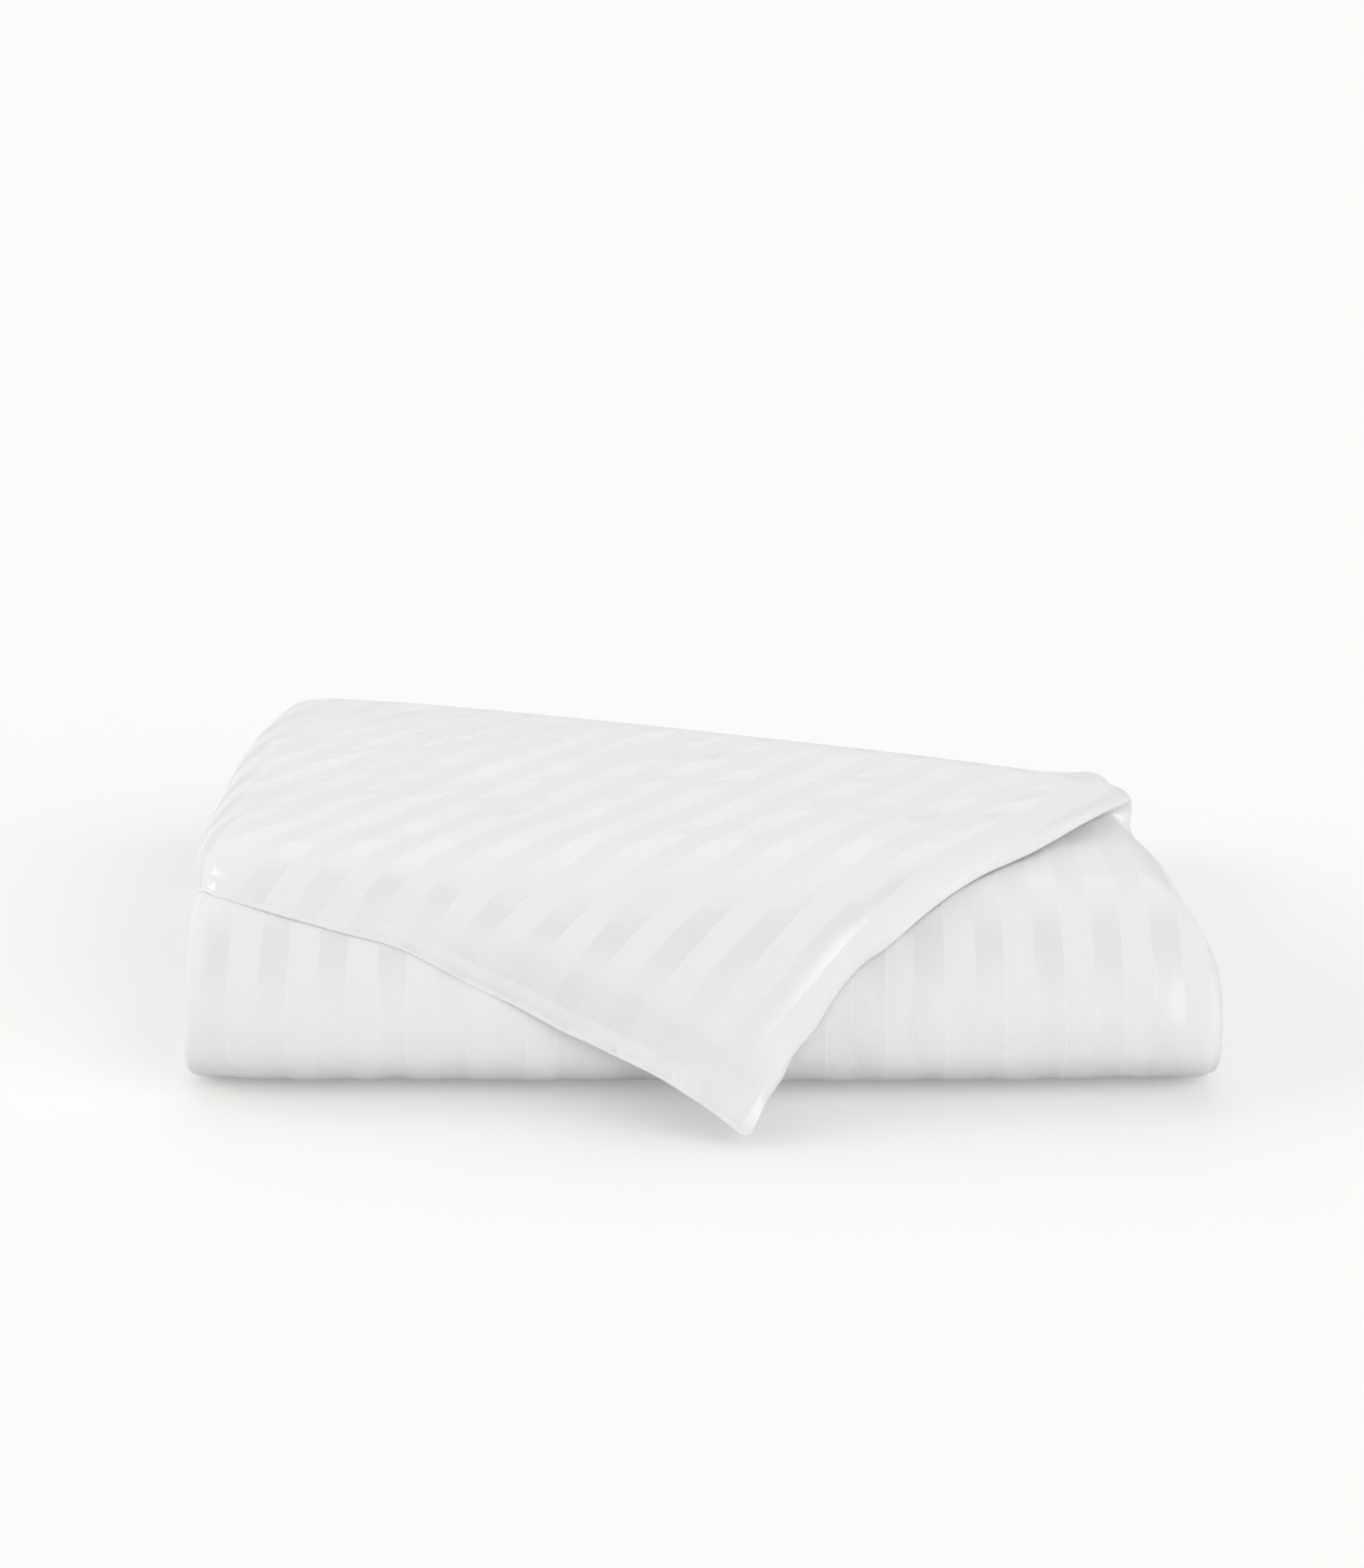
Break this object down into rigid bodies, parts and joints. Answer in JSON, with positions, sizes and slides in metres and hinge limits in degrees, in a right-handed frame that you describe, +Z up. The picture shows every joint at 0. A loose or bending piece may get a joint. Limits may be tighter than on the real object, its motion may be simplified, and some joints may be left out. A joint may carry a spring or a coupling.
{
  "type": "folded duvet cover",
  "caption": "Filled striped duvet cover folded into a low stack, its turned top layer hanging over the front in one diagonal corner.",
  "frame": {"origin": "bottom centre of the folded stack with its hanging corner", "axes": "+X along the width to the right, -Y to the front fold, +Z up"},
  "size_m": [0.7698, 0.5822, 0.165],
  "materials": {
    "cotton_sateen": "white cotton sateen with woven satin stripes, soft sheen"
  },
  "bodies": {
    "root": {"folded_duvet_cover": "cotton_sateen"}
  },
  "joints": []
}
